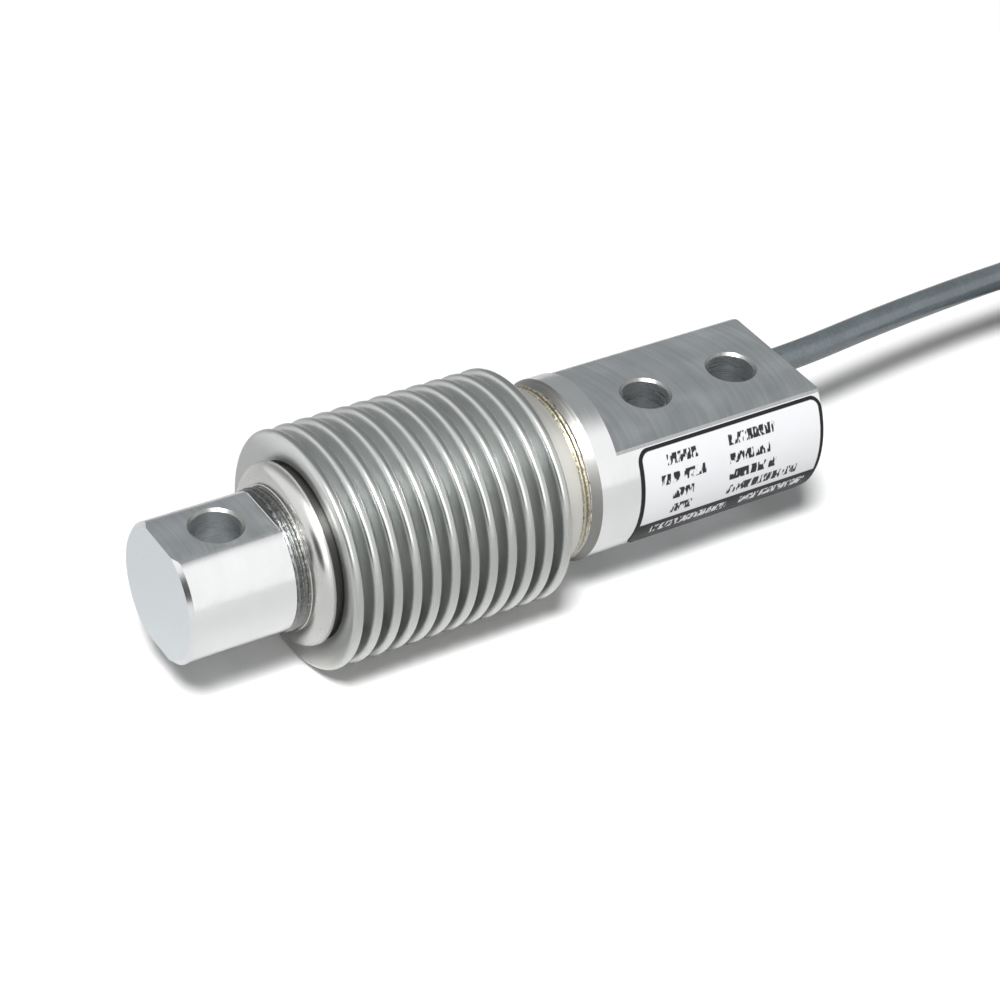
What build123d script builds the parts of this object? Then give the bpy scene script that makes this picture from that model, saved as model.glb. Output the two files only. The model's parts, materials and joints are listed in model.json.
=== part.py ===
from build123d import *
import math
import os

os.makedirs("parts", exist_ok=True)

# A bellows-sealed bending beam load cell. All sizes are in millimetres.
# The origin is midway between the two mounting holes, on the lower mounting flat.
# X runs along the beam towards the cable end, and Z is the direction of the load.

# Holes and flats
load_hole_inset = 10.0
hole_span = 82.0
mounting_hole_spacing = 18.0
mounting_hole_inset = 10.0
hole_diameter = 8.2
hole_chamfer = 0.45
flat_thickness = 20.4
flat_edge_break = 0.35

# Load end of the beam
stub_diameter = 23.4
stub_flat_length = 18.3
stub_end_chamfer = 0.7
shoulder_diameter = 26.0
shoulder_thickness = 2.0

# Mounting end of the beam
block_diameter = 31.8
block_flat_length = 42.5
block_end_chamfer = 0.5
collar_length = 4.0
collar_taper_length = 1.6
seat_length = 5.5

# Bending section between the ends, thinned by two cross holes joined by a slot
section_width = 16.0
section_height = 17.5
flexure_hole_diameter = 11.5
flexure_end_land = 7.25
flexure_slot_height = 5.0

# Bellows
bellows_diameter = 40.2
bellows_root_diameter = 30.8
bellows_wall = 0.4
convolutions = 12
crest_width = 1.9
crest_drop = 0.45
cuff_length = 5.0

# End ring that closes the bellows at the load end
ring_nose_diameter = 24.4
ring_nose_length = 3.35
ring_nose_bulge = 0.6
ring_seat_length = 2.0

# Weld beads
load_weld_width = 2.4
load_weld_height = 0.35
mounting_weld_width = 1.9
mounting_weld_height = 0.45

# Strain gauges, terminals and compensation board
gauge_length = 7.0
gauge_width = 5.0
gauge_thickness = 0.12
terminal_length = 5.0
terminal_width = 8.0
terminal_thickness = 0.4
board_length = 10.0
board_height = 13.0
board_thickness = 0.8
resistor_length = 3.2
resistor_width = 1.6
resistor_thickness = 0.6
resistor_pitch = 3.0
resistor_count = 3

# Wiring channel and cable entry
channel_wall = 2.2
channel_below_axis = 0.65
channel_diameter = 4.0
entry_diameter = 6.6
entry_depth = 16.0
jacket_depth = 12.0
boot_length = 5.0
boot_tip_diameter = 5.8
lead_diameter = 0.6
lead_pitch = 1.0
lead_count = 4
lead_pad_length = 2.0

# Label on the front of the mounting block
label_length = 38.2
label_from_end = 0.5
label_angle = 76.0
label_thickness = 0.12
label_corner = 2.0

# Cable, and the hank of its spare length on the surface under the bellows
cable_diameter = 5.0
cable_length = 3000.0
hank_rows = 4
hank_columns = 3
hank_fold_radius = 20.0
hank_corner = 1.5
hank_lead = 22.0
hank_lead_sink = 0.3
hank_entry_x = 112.0
hank_entry_y = 16.6
hank_tail_turn = 22.5
hank_tail_lead = 20.0
tie_width = 3.6
tie_thickness = 0.9
tie_clearance = 0.15
tie_head = 5.0
tie_head_height = 3.2
sleeve_length = 12.0
sleeve_wall = 0.4
conductor_diameter = 1.3
conductor_offset = 0.8
tip_diameter = 0.8
tip_length = 6.0

# Places along the beam
x_load_hole = -(mounting_hole_spacing / 2 + hole_span)
x_load_end = x_load_hole - load_hole_inset
x_cable_end = mounting_hole_spacing / 2 + mounting_hole_inset
axis_z = flat_thickness / 2
x_stub_end = x_load_end + stub_flat_length
x_ring = x_stub_end + load_weld_width
x_front_wall = x_ring + ring_nose_length
x_ring_end = x_front_wall + ring_seat_length
x_section = x_ring_end + shoulder_thickness
x_flats = x_cable_end - block_flat_length
x_collar = x_flats - collar_length
x_taper = x_collar - collar_taper_length
x_cuff_end = x_taper - mounting_weld_width
x_rear_wall = x_cuff_end - cuff_length
x_seat = x_cuff_end - seat_length
x_middle = (x_section + x_seat) / 2
section_length = x_seat - x_section
flexure_hole_spacing = section_length - 2 * flexure_end_land
bellows_bore_diameter = bellows_root_diameter - 2 * bellows_wall
bellows_pitch = (x_rear_wall - x_front_wall - crest_width) / (convolutions - 1)
channel_y = hole_diameter / 2 + channel_wall + entry_diameter / 2
channel_z = axis_z - channel_below_axis
surface_z = axis_z - bellows_diameter / 2
beam_axis = Axis((0, 0, axis_z), (1, 0, 0))


def turned(points):
    """Points of a turned outline, given as (x, radius), on the XZ plane."""
    return [(x, axis_z + radius) for x, radius in points]


# Beam: stub, bending section and mounting block in one machined piece
load_end_outline = turned([
    (x_load_end, 0),
    (x_load_end, stub_diameter / 2 - stub_end_chamfer),
    (x_load_end + stub_end_chamfer, stub_diameter / 2),
    (x_ring_end, stub_diameter / 2),
    (x_ring_end, shoulder_diameter / 2),
    (x_section, shoulder_diameter / 2),
    (x_section, 0),
])
mounting_end_outline = turned([
    (x_seat, 0),
    (x_seat, bellows_bore_diameter / 2),
    (x_taper, bellows_bore_diameter / 2),
    (x_collar, block_diameter / 2),
    (x_cable_end - block_end_chamfer, block_diameter / 2),
    (x_cable_end, block_diameter / 2 - block_end_chamfer),
    (x_cable_end, 0),
])
with BuildPart() as beam:
    with BuildSketch(Plane.XZ):
        with BuildLine():
            Polyline(load_end_outline, close=True)
        make_face()
    revolve(axis=beam_axis)
    with BuildSketch(Plane.XZ):
        with BuildLine():
            Polyline(mounting_end_outline, close=True)
        make_face()
    revolve(axis=beam_axis)
    with Locations((x_middle, 0, axis_z)):
        Box(section_length, section_width, section_height)
    # Flats, cut back to the full round at the weld and at the collar
    with Locations((x_load_end, 0, flat_thickness), (x_load_end, 0, -stub_diameter)):
        Box(
            stub_flat_length,
            stub_diameter,
            stub_diameter,
            align=(Align.MIN, Align.CENTER, Align.MIN),
            mode=Mode.SUBTRACT,
        )
    with Locations((x_cable_end, 0, flat_thickness), (x_cable_end, 0, -block_diameter)):
        Box(
            block_flat_length,
            block_diameter,
            block_diameter,
            align=(Align.MAX, Align.CENTER, Align.MIN),
            mode=Mode.SUBTRACT,
        )
    flat_edges = beam.edges().filter_by(Axis.X).filter_by(
        lambda e: abs(e.center().Z - axis_z) > flat_thickness / 2 - 0.01
    )
    chamfer(flat_edges, flat_edge_break)
    # Load hole and mounting holes
    hole_places = [x_load_hole, -mounting_hole_spacing / 2, mounting_hole_spacing / 2]
    with Locations([(x, 0, axis_z) for x in hole_places]):
        Cylinder(hole_diameter / 2, flat_thickness, mode=Mode.SUBTRACT)
    hole_edges = beam.edges().filter_by(GeomType.CIRCLE).filter_by(
        lambda e: abs(e.radius - hole_diameter / 2) < 0.01
    )
    chamfer(hole_edges, hole_chamfer)
    # Cross holes and slot that make the two bending places
    with BuildSketch(Plane.XZ):
        with Locations((x_middle, axis_z)):
            with Locations((-flexure_hole_spacing / 2, 0), (flexure_hole_spacing / 2, 0)):
                Circle(flexure_hole_diameter / 2)
            Rectangle(flexure_hole_spacing, flexure_slot_height)
    extrude(amount=section_width, both=True, mode=Mode.SUBTRACT)
    # Wiring channel beside the mounting holes, wider where the cable enters
    with Locations(Location((x_cable_end, channel_y, channel_z), (0, 90, 0))):
        Cylinder(
            channel_diameter / 2,
            x_cable_end - x_seat,
            align=(Align.CENTER, Align.CENTER, Align.MAX),
            mode=Mode.SUBTRACT,
        )
        Cylinder(
            entry_diameter / 2,
            entry_depth,
            align=(Align.CENTER, Align.CENTER, Align.MAX),
            mode=Mode.SUBTRACT,
        )
beam.part.label = "beam"
export_step(beam.part, "parts/beam.step")

# End ring: its rounded nose leads from the stub up to the bellows
nose_start = (x_ring, ring_nose_diameter / 2)
nose_end = (x_front_wall, bellows_root_diameter / 2)
nose_rise = nose_end[1] - nose_start[1]
nose_run = nose_end[0] - nose_start[0]
nose_chord = math.hypot(nose_run, nose_rise)
nose_middles = [
    (
        nose_start[0] + share * nose_run - ring_nose_bulge * nose_rise / nose_chord,
        nose_start[1] + share * nose_rise + ring_nose_bulge * nose_run / nose_chord,
    )
    for share in (0.3, 0.7)
]
ring_outline = turned([
    nose_start,
    *nose_middles,
    nose_end,
    (x_front_wall, bellows_bore_diameter / 2),
    (x_ring_end, bellows_bore_diameter / 2),
    (x_ring_end, stub_diameter / 2),
    (x_ring, stub_diameter / 2),
])
with BuildPart() as end_ring:
    with BuildSketch(Plane.XZ):
        with BuildLine():
            Polyline(ring_outline, close=True)
        make_face()
    revolve(axis=beam_axis)
end_ring.part.label = "end_ring"
export_step(end_ring.part, "parts/end_ring.step")

# Bellows: one crest after another, then the cuff on its seat
bellows_outline = [(x_front_wall, bellows_bore_diameter / 2)]
for i in range(convolutions):
    crest_start = x_front_wall + i * bellows_pitch
    bellows_outline += [
        (crest_start, bellows_root_diameter / 2),
        (crest_start, bellows_diameter / 2 - crest_drop),
        (crest_start + crest_width / 2, bellows_diameter / 2),
        (crest_start + crest_width, bellows_diameter / 2 - crest_drop),
        (crest_start + crest_width, bellows_root_diameter / 2),
    ]
bellows_outline += [
    (x_cuff_end, bellows_root_diameter / 2),
    (x_cuff_end, bellows_bore_diameter / 2),
]
del bellows_outline[1]
with BuildPart() as bellows:
    with BuildSketch(Plane.XZ):
        with BuildLine():
            Polyline(turned(bellows_outline), close=True)
        make_face()
    revolve(axis=beam_axis)
bellows.part.label = "bellows"
export_step(bellows.part, "parts/bellows.step")


def bead_outline(x_start, width, radius, height):
    """Outline of a weld bead on a round seat, flat along its top."""
    return turned([
        (x_start, radius),
        (x_start + width / 4, radius + height),
        (x_start + 3 * width / 4, radius + height),
        (x_start + width, radius),
    ])


# Weld between the stub and the end ring
with BuildPart() as load_end_weld:
    with BuildSketch(Plane.XZ):
        with BuildLine():
            Polyline(
                bead_outline(x_stub_end, load_weld_width, stub_diameter / 2, load_weld_height),
                close=True,
            )
        make_face()
    revolve(axis=beam_axis)
load_end_weld.part.label = "load_end_weld"
export_step(load_end_weld.part, "parts/load_end_weld.step")

# Weld between the bellows cuff and the mounting block
with BuildPart() as mounting_end_weld:
    with BuildSketch(Plane.XZ):
        with BuildLine():
            Polyline(
                bead_outline(
                    x_cuff_end, mounting_weld_width, bellows_bore_diameter / 2, mounting_weld_height
                ),
                close=True,
            )
        make_face()
    revolve(axis=beam_axis)
mounting_end_weld.part.label = "mounting_end_weld"
export_step(mounting_end_weld.part, "parts/mounting_end_weld.step")

# Four strain gauges, one on the skin over each thin place of the beam
gauge_ends = {"load_side": -1, "mounting_side": 1}
gauge_faces = {"top": 1, "bottom": -1}
for end_name, end in gauge_ends.items():
    for face_name, face in gauge_faces.items():
        gauge_z = axis_z + face * (section_height + gauge_thickness) / 2
        with BuildPart() as gauge:
            with Locations((x_middle + end * flexure_hole_spacing / 2, 0, gauge_z)):
                Box(gauge_length, gauge_width, gauge_thickness)
        gauge_name = f"strain_gauge_{face_name}_{end_name}"
        gauge.part.label = gauge_name
        export_step(gauge.part, f"parts/{gauge_name}.step")

# Solder terminals between the gauges of each face
for face_name, face in gauge_faces.items():
    terminal_z = axis_z + face * (section_height + terminal_thickness) / 2
    with BuildPart() as terminal:
        with Locations((x_middle, 0, terminal_z)):
            Box(terminal_length, terminal_width, terminal_thickness)
    terminal.part.label = f"terminal_{face_name}"
    export_step(terminal.part, f"parts/terminal_{face_name}.step")

# Compensation board across the slot on the beam's back side
board_face_y = section_width / 2 + board_thickness
with BuildPart() as compensation_board:
    with Locations((x_middle, section_width / 2, axis_z)):
        Box(
            board_length,
            board_thickness,
            board_height,
            align=(Align.CENTER, Align.MIN, Align.CENTER),
        )
compensation_board.part.label = "compensation_board"
export_step(compensation_board.part, "parts/compensation_board.step")

# Trim resistors in a row up the board, clear of the lead wires
resistor_x = x_middle - board_length / 2 + resistor_length / 2 + lead_diameter
with BuildPart() as trim_resistors:
    with Locations((resistor_x, board_face_y, axis_z)):
        for i in range(resistor_count):
            with Locations((0, 0, (i - (resistor_count - 1) / 2) * resistor_pitch)):
                Box(
                    resistor_length,
                    resistor_thickness,
                    resistor_width,
                    align=(Align.CENTER, Align.MIN, Align.CENTER),
                )
trim_resistors.part.label = "trim_resistors"
export_step(trim_resistors.part, "parts/trim_resistors.step")

# Four lead wires from the board, through the channel, to the cable's end
lead_y = board_face_y + lead_diameter / 2
x_lead_start = x_middle + board_length / 2 - lead_pad_length
x_jacket_end = x_cable_end - jacket_depth
lead_places = [
    (x_jacket_end, lead_y, channel_z + (i - (lead_count - 1) / 2) * lead_pitch)
    for i in range(lead_count)
]
for i, place in enumerate(lead_places):
    with BuildPart() as lead:
        with Locations(Location(place, (0, 90, 0))):
            Cylinder(
                lead_diameter / 2,
                x_jacket_end - x_lead_start,
                align=(Align.CENTER, Align.CENTER, Align.MAX),
            )
    lead.part.label = f"lead_wire_{i + 1}"
    export_step(lead.part, f"parts/lead_wire_{i + 1}.step")

# Potting behind the cable's end, cast round the lead wires
with BuildPart() as potting_plug:
    with Locations(Location((x_jacket_end, channel_y, channel_z), (0, 90, 0))):
        Cylinder(
            entry_diameter / 2,
            entry_depth - jacket_depth,
            align=(Align.CENTER, Align.CENTER, Align.MAX),
        )
    with Locations([Location(place, (0, 90, 0)) for place in lead_places]):
        Cylinder(
            lead_diameter / 2,
            x_jacket_end - x_lead_start,
            align=(Align.CENTER, Align.CENTER, Align.MAX),
            mode=Mode.SUBTRACT,
        )
potting_plug.part.label = "potting_plug"
export_step(potting_plug.part, "parts/potting_plug.step")

# Cable seal: a rubber sleeve in the entry, with a short tapered boot outside
with BuildPart() as cable_seal:
    with Locations(Location((x_cable_end, channel_y, channel_z), (0, 90, 0))):
        Cylinder(
            entry_diameter / 2,
            jacket_depth,
            align=(Align.CENTER, Align.CENTER, Align.MAX),
        )
        Cone(
            entry_diameter / 2,
            boot_tip_diameter / 2,
            boot_length,
            align=(Align.CENTER, Align.CENTER, Align.MIN),
        )
    with Locations(Location((x_cable_end + boot_length, channel_y, channel_z), (0, 90, 0))):
        Cylinder(
            cable_diameter / 2,
            jacket_depth + boot_length,
            align=(Align.CENTER, Align.CENTER, Align.MAX),
            mode=Mode.SUBTRACT,
        )
cable_seal.part.label = "cable_seal"
export_step(cable_seal.part, "parts/cable_seal.step")

# Label wrapped round the front of the block, with rounded corners
label_radius = block_diameter / 2
x_label = x_cable_end - label_from_end - label_length / 2
label_height = 2 * label_radius * math.sin(math.radians(label_angle / 2))
with BuildPart() as label:
    with BuildSketch(Plane.XZ):
        with Locations((x_label, axis_z)):
            RectangleRounded(label_length, label_height, label_corner)
    extrude(amount=block_diameter)
    with Locations(Location((x_label, 0, axis_z), (0, 90, 0))):
        Cylinder(label_radius + label_thickness, label_length, mode=Mode.INTERSECT)
        Cylinder(label_radius, label_length, mode=Mode.SUBTRACT)
label.part.label = "label"
export_step(label.part, "parts/label.step")

# Cable: straight out of the seal, then slowly down to the hank
hank_side = hank_columns * cable_diameter
hank_height = hank_rows * cable_diameter
hank_outer_turn = hank_fold_radius + (hank_side - cable_diameter) / 2
hank_base_z = surface_z + tie_thickness + tie_clearance
hank_top_turn_z = hank_base_z + hank_height - cable_diameter / 2
hank_centre_z = hank_base_z + hank_height / 2
hank_lead_offset = hank_outer_turn - hank_lead_sink
hank_entry = Vector(hank_entry_x, hank_entry_y, hank_top_turn_z - hank_lead_sink)
cable_points = [
    Vector(x_jacket_end, channel_y, channel_z),
    Vector(29.0, channel_y, channel_z),
    Vector(55.0, 13.3, 8.9),
    Vector(77.0, 15.6, 8.2),
]
entry_direction = (hank_entry - cable_points[-1]).normalized()
cable_points.append(hank_entry - entry_direction * hank_lead)
cable_turns = []
cable_radii = []
for before, here, after in zip(cable_points, cable_points[1:], cable_points[2:]):
    turn = (here - before).get_angle(after - here)
    shorter = min((here - before).length, (after - here).length)
    cable_turns.append(turn)
    cable_radii.append(0.45 * shorter / math.tan(math.radians(turn / 2)))
print("cable turns, degrees:", [round(t, 1) for t in cable_turns])
print("cable radii, mm:", [round(r, 1) for r in cable_radii])
with BuildPart() as cable:
    with BuildLine() as cable_path:
        FilletPolyline(*cable_points, radius=cable_radii)
    with BuildSketch(Plane(cable_points[0], z_dir=cable_points[1] - cable_points[0])):
        Circle(cable_diameter / 2)
    sweep(path=cable_path.wires()[0])
cable_run = cable_path.wires()[0].length
cable_section = math.pi * cable_diameter**2 / 4
print("cable run, mm:", round(cable_run, 2), "volume:", round(cable.part.volume, 1))
print("section times length:", round(cable_section * cable_run, 1))
cable.part.label = "cable"
export_step(cable.part, "parts/cable.step")

# Hank: the turns side by side round two folds, outer column first, as long as the whole cable needs.
# The lead comes in at the top outside, and the free end leaves the last fold at the bottom inside and
# lies in the loop.
hank_turns = hank_rows * hank_columns - 1
hank_inner_turn = hank_fold_radius - (hank_side - cable_diameter) / 2
hank_arcs = 2 * math.pi * (hank_rows * hank_columns * hank_fold_radius - hank_inner_turn)
hank_tail_arc = math.radians(hank_tail_turn) * hank_inner_turn
hank_spare = cable_length - cable_run - hank_lead - hank_tail_arc - hank_tail_lead
hank_run = (hank_spare - hank_arcs) / (2 * hank_turns)
print("hank runs, mm:", round(hank_run, 2), "turns:", hank_turns)
heading = Vector(entry_direction.X, entry_direction.Y, 0).normalized()
inward = Vector(heading.Y, -heading.X, 0)
hank_centre = hank_entry + heading * (hank_run / 2) + inward * hank_lead_offset
hank_centre = Vector(hank_centre.X, hank_centre.Y, hank_centre_z)
tail_z = hank_base_z + cable_diameter / 2 + hank_lead_sink
tail_sine = math.sin(math.radians(hank_tail_turn))
tail_cosine = math.cos(math.radians(hank_tail_turn))
tail_heading = heading * tail_cosine + inward * tail_sine
tail_start = hank_centre - heading * (hank_run / 2 - hank_inner_turn * tail_sine)
tail_start = tail_start - inward * (hank_inner_turn * tail_cosine)
tail_start = Vector(tail_start.X, tail_start.Y, tail_z)
tail_end = tail_start + tail_heading * hank_tail_lead
hank_plane = Plane(hank_centre, x_dir=heading, z_dir=(0, 0, 1))
with BuildPart() as cable_hank:
    with BuildSketch(hank_plane):
        SlotCenterToCenter(hank_run, 2 * hank_fold_radius + hank_side)
        SlotCenterToCenter(hank_run, 2 * hank_fold_radius - hank_side, mode=Mode.SUBTRACT)
    extrude(amount=hank_height / 2, both=True)
    hank_rims = cable_hank.faces().filter_by(Axis.Z).edges()
    chamfer(hank_rims, hank_corner)
    with BuildSketch(Plane(cable_points[-1], z_dir=entry_direction)):
        Circle(cable_diameter / 2)
    extrude(amount=hank_lead)
    with BuildSketch(Plane(tail_start, z_dir=tail_heading)):
        Circle(cable_diameter / 2)
    extrude(amount=hank_tail_lead)
cable_hank.part.label = "cable_hank"
export_step(cable_hank.part, "parts/cable_hank.step")

# Two ties, one round each side of the hank, with their heads inside it
for i, side_of_hank in enumerate((1, -1)):
    inside = inward * side_of_hank
    tie_centre = hank_centre - inside * hank_fold_radius
    inner_side = hank_side + 2 * tie_clearance
    inner_height = hank_height + 2 * tie_clearance
    tie_plane = Plane(tie_centre, x_dir=inside, z_dir=inside.cross(Vector(0, 0, 1)))
    with BuildPart() as hank_tie:
        with BuildSketch(tie_plane):
            strap = Rectangle(inner_side + 2 * tie_thickness, inner_height + 2 * tie_thickness)
            chamfer(strap.vertices(), hank_corner)
        extrude(amount=tie_width / 2, both=True)
        with BuildSketch(tie_plane):
            opening = Rectangle(inner_side, inner_height)
            chamfer(opening.vertices(), hank_corner)
        extrude(amount=tie_width / 2, both=True, mode=Mode.SUBTRACT)
        head_place = tie_centre + inside * (inner_side / 2) + Vector(0, 0, hank_height / 4)
        head_angle = math.degrees(math.atan2(inside.Y, inside.X))
        with Locations(Location(head_place, (0, 0, head_angle))):
            Box(tie_head_height, tie_head, tie_head, align=(Align.MIN, Align.CENTER, Align.CENTER))
    hank_tie.part.label = f"hank_tie_{i + 1}"
    export_step(hank_tie.part, f"parts/hank_tie_{i + 1}.step")

# Heat-shrink sleeve over the end of the jacket
sleeve_start = tail_end - tail_heading * (sleeve_length / 2)
with BuildPart() as end_sleeve:
    with BuildSketch(Plane(sleeve_start, z_dir=tail_heading)):
        Circle(cable_diameter / 2 + sleeve_wall)
        Circle(cable_diameter / 2, mode=Mode.SUBTRACT)
    extrude(amount=sleeve_length)
end_sleeve.part.label = "end_sleeve"
export_step(end_sleeve.part, "parts/end_sleeve.step")

# Four conductors out of the sleeve, spread a little and coming down to the surface
conductor_colours = ["red", "white", "green", "black"]
conductor_starts = [(-1, 1), (1, 1), (-1, -1), (1, -1)]
conductor_spread = [-1.2, 1.5, -5.4, 5.6]
conductor_reach = [24.0, 25.0, 23.0, 21.0]
conductor_straight = [5.5, 6.0, 2.0, 2.0]
rest_z = surface_z + conductor_diameter / 2
side = Vector(-tail_heading.Y, tail_heading.X, 0)
for colour, (across, up), spread, reach, straight in zip(
    conductor_colours, conductor_starts, conductor_spread, conductor_reach, conductor_straight
):
    start = tail_end + side * (across * conductor_offset) + Vector(0, 0, up * conductor_offset)
    bend = start + tail_heading * (sleeve_length / 2 + straight)
    tip_end = tail_end + tail_heading * (reach + tip_length) + side * spread
    tip_end = Vector(tip_end.X, tip_end.Y, rest_z)
    last = tip_end - (tip_end - bend).normalized() * tip_length
    bend_angle = (bend - start).get_angle(last - bend)
    bend_radius = 0.45 * (bend - start).length / math.tan(math.radians(bend_angle / 2))
    print(colour, "conductor bend radius, mm:", round(bend_radius, 1))
    with BuildPart() as conductor:
        with BuildLine() as conductor_path:
            FilletPolyline(start, bend, last, radius=bend_radius)
        with BuildSketch(Plane(start, z_dir=tail_heading)):
            RegularPolygon(conductor_diameter / 2, 6)
        sweep(path=conductor_path.wires()[0])
        with BuildSketch(Plane(last, z_dir=last - bend)):
            RegularPolygon(tip_diameter / 2, 6)
        extrude(amount=tip_length)
    conductor.part.label = f"conductor_{colour}"
    export_step(conductor.part, f"parts/conductor_{colour}.step")

hank_length = hank_turns * 2 * hank_run + hank_arcs
cable_total = cable_run + hank_lead + hank_length + hank_tail_arc + hank_tail_lead
print("whole cable, mm:", round(cable_total, 1))
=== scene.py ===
# %% [markdown]
# # A bending beam load cell with a steel bellows
# The load cell is a bar of stainless steel. Its thick end is bolted down, its thin end carries the load,
# and a bellows welded round the middle keeps water off the strain gauges. This file dresses the CAD model
# of it: it keeps the model's frame and sizes, makes the round thin-walled pieces again with smooth
# profiles, lays the cable as one curve, and gives every piece a material made of nodes.

# %% The frame
import json
import math
import bpy
import bmesh
from mathutils import Matrix, Vector, noise

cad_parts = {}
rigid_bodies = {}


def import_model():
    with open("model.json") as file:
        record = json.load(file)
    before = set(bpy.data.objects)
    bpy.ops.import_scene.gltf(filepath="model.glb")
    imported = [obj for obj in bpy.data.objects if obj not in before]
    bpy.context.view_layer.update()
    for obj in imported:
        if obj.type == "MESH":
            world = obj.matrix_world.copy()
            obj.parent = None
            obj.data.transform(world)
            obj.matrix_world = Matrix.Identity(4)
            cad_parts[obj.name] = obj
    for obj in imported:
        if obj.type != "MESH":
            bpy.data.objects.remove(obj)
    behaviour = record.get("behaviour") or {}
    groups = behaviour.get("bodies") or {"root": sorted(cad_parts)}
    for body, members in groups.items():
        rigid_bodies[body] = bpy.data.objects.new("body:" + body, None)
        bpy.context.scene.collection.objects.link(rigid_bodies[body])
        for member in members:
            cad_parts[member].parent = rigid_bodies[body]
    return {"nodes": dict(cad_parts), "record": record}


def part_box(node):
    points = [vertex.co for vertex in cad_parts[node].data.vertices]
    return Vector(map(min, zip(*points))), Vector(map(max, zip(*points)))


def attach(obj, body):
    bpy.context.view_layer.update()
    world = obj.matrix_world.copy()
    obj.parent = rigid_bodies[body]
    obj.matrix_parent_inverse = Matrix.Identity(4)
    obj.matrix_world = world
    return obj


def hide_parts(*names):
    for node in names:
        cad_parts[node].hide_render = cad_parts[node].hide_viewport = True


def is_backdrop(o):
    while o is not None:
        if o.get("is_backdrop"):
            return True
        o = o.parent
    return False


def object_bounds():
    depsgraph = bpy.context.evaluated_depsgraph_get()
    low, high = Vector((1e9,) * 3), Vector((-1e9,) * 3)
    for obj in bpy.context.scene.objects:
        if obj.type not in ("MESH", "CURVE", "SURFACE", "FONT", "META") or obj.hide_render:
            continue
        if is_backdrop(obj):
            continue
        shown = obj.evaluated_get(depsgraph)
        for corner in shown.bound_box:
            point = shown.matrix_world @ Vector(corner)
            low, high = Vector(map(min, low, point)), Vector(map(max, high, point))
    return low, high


for leftover in list(bpy.data.objects):
    bpy.data.objects.remove(leftover)
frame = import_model()
cad_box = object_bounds()
print("CAD box:", [[round(v, 4) for v in corner] for corner in cad_box])

# %% [markdown]
# The whole thing is built round one line, the beam's axis, which runs along X. Its height, the floor the
# bellows touches, and the places of the rings along it are read from the CAD model's own boxes, so that
# nothing has to be fitted by eye.

# %% Places read from the CAD model
beam_low, beam_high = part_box("beam")
bellows_low, bellows_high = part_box("bellows")
ring_low, ring_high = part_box("end_ring")
load_weld_low, load_weld_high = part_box("load_end_weld")
mounting_weld_low, mounting_weld_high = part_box("mounting_end_weld")
label_low, label_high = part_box("label")
axis_z = (ring_low.z + ring_high.z) / 2
axis_point = Vector((0, 0, axis_z))
floor_z = axis_z - bellows_high.y
print("beam axis at", round(axis_z, 4), "and floor at", round(floor_z, 4))

# %% [markdown]
# The camera stands in front of the load end, to the left and above, far enough away for a long lens.
# Heading and elevation say where it looks, and the roll is the slight tilt with which the picture was
# taken. The long lens keeps the two ends of the beam nearly the same size.

# %% Camera
def shown_object(name, data):
    """An object of a mesh, curve, lamp or camera, linked to the scene."""
    made = bpy.data.objects.new(name, data)
    bpy.context.scene.collection.objects.link(made)
    return made


camera_place = Vector((-0.258966, -0.301825, 0.288642))
camera_heading = math.radians(53.676)
camera_elevation = math.radians(36.922)
camera_roll = math.radians(6.073)
camera_data = bpy.data.cameras.new("camera")
camera_data.sensor_width = 36
camera_data.lens = 100.797
camera_data.clip_start = 0.01
camera = shown_object("camera", camera_data)
turn_to_heading = Matrix.Rotation(camera_heading - math.pi / 2, 4, "Z")
tip_down = Matrix.Rotation(math.pi / 2 - camera_elevation, 4, "X")
roll_round_view = Matrix.Rotation(camera_roll, 4, "Z")
camera.matrix_world = Matrix.Translation(camera_place) @ turn_to_heading @ tip_down @ roll_round_view
bpy.context.scene.camera = camera
print("camera looks back along", [round(v, 4) for v in camera.matrix_world.col[2].xyz])

# %% [markdown]
# A load cell comes with about three metres of cable. It leaves the back of the block level, sinks a
# little, and the rest is folded into a hank in line with the beam, because a round coil would stand out
# on both sides of so slim a body. One NURBS curve of order three is the whole centreline. Its control
# points are the few corners of the route, and then the turns of the hank.

# %% The route out of the block, in metres
cable_diameter = 0.005
run_points = [
    (0.007, 0.0096, 0.00955),
    (0.029, 0.0096, 0.00955),
    (0.055, 0.0133, 0.0089),
    (0.077, 0.0156, 0.0082),
]
hank_entry = Vector((0.112, 0.0166, 0.00835))
hank_lead = 0.022
into_hank = (hank_entry - Vector(run_points[-1])).normalized()
run_points.append(tuple(hank_entry - into_hank * hank_lead))
print("points before the hank:", len(run_points))

# %% Where the hank lies
fold_radius = 0.020
heading = Vector((into_hank.x, into_hank.y, 0)).normalized()
outward = Vector((-heading.y, heading.x, 0))
tie_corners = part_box("hank_tie_1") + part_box("hank_tie_2")
hank_middle = sum(tie_corners, Vector()) / len(tie_corners)
hank_run = 2 * (hank_middle - hank_entry).dot(heading)
turn_length = 2 * hank_run + 2 * math.pi * fold_radius
print("straight runs:", round(hank_run, 4), "one turn:", round(turn_length, 4))

# %% [markdown]
# The hank has three columns of four turns. Whoever winds it fills the outer column from the top down,
# the middle one from the bottom up and the inner one down again. Each turn steps over by one diameter
# near the end of its near run. A change of column, and the step after it, come one centimetre earlier
# each, because two turns that step in different directions at the same place would cross.

# %% The order of the turns
hank_columns = 3
hank_layers = 4
top_turn_z = 0.00865
turn_places = []
for column in range(hank_columns):
    heights = [top_turn_z - layer * cable_diameter for layer in range(hank_layers)]
    if column % 2:
        heights.reverse()
    for height in heights:
        turn_places.append((fold_radius + (1 - column) * cable_diameter, height))
print("turns in the winding order:", len(turn_places))

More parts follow.
